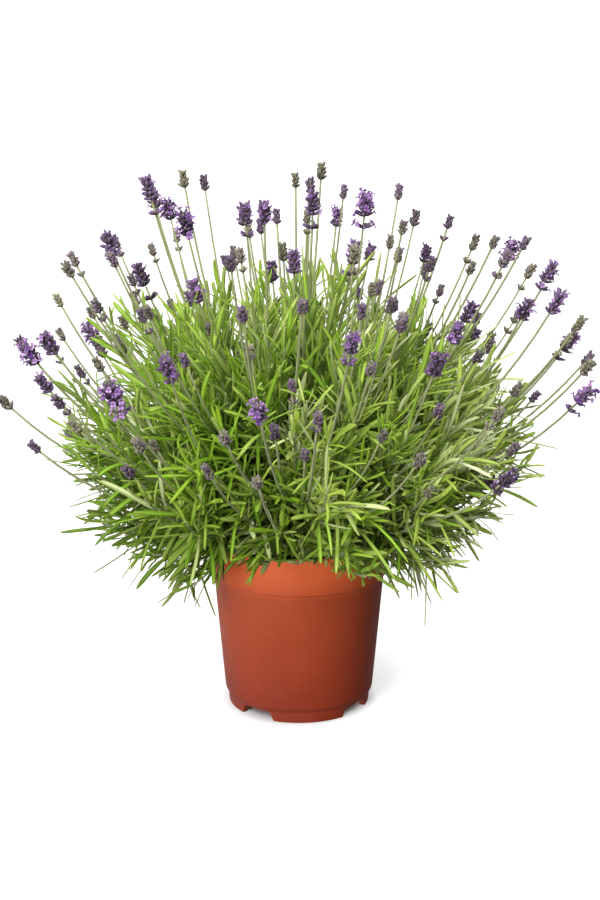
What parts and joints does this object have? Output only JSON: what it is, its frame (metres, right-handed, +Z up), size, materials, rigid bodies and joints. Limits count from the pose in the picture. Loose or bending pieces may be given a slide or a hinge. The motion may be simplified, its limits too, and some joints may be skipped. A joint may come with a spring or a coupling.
{
  "type": "potted lavender",
  "caption": "Flowering lavender bush standing in a round tapered nursery pot with a rim band and notched feet.",
  "frame": {"origin": "on the ground under the middle of the pot", "axes": "+Z up the plant; -Y is the front, the side that the picture shows; +X to the right seen from the front"},
  "size_m": [0.5463, 0.5432, 0.507],
  "materials": {
    "pot_plastic": "terracotta-coloured moulded plastic, satin",
    "soil": "dark peat potting soil, matte and crumbly",
    "foliage": "grey-green leaves and stalks with fine felt, matte",
    "petals": "violet flowers in grey-violet calyces, matte and downy"
  },
  "bodies": {
    "root": {"pot": "pot_plastic", "soil": "soil", "spray_01": "foliage", "spray_02": "foliage", "spray_03": "foliage", "spray_04": "foliage", "spray_05": "foliage", "spray_06": "foliage", "spray_07": "foliage", "spray_08": "foliage", "spray_09": "foliage", "spray_10": "foliage", "spray_11": "foliage", "spray_12": "foliage", "spray_13": "foliage", "spray_14": "foliage", "head_01": "petals", "head_02": "petals", "head_03": "petals", "head_04": "petals", "head_05": "petals", "head_06": "petals", "head_07": "petals", "head_08": "petals", "head_09": "petals", "head_10": "petals", "head_11": "petals", "head_12": "petals", "head_13": "petals", "head_14": "petals", "head_15": "petals", "head_16": "petals", "head_17": "petals", "head_18": "petals", "head_19": "petals", "head_20": "petals", "head_21": "petals", "head_22": "petals", "head_23": "petals", "head_24": "petals", "head_25": "petals", "head_26": "petals", "head_27": "petals", "head_28": "petals", "head_29": "petals", "head_30": "petals", "head_31": "petals", "head_32": "petals", "head_33": "petals", "head_34": "petals", "head_35": "petals", "head_36": "petals", "head_37": "petals", "head_38": "petals", "head_39": "petals", "head_40": "petals", "head_41": "petals", "head_42": "petals", "head_43": "petals", "head_44": "petals"}
  },
  "joints": []
}
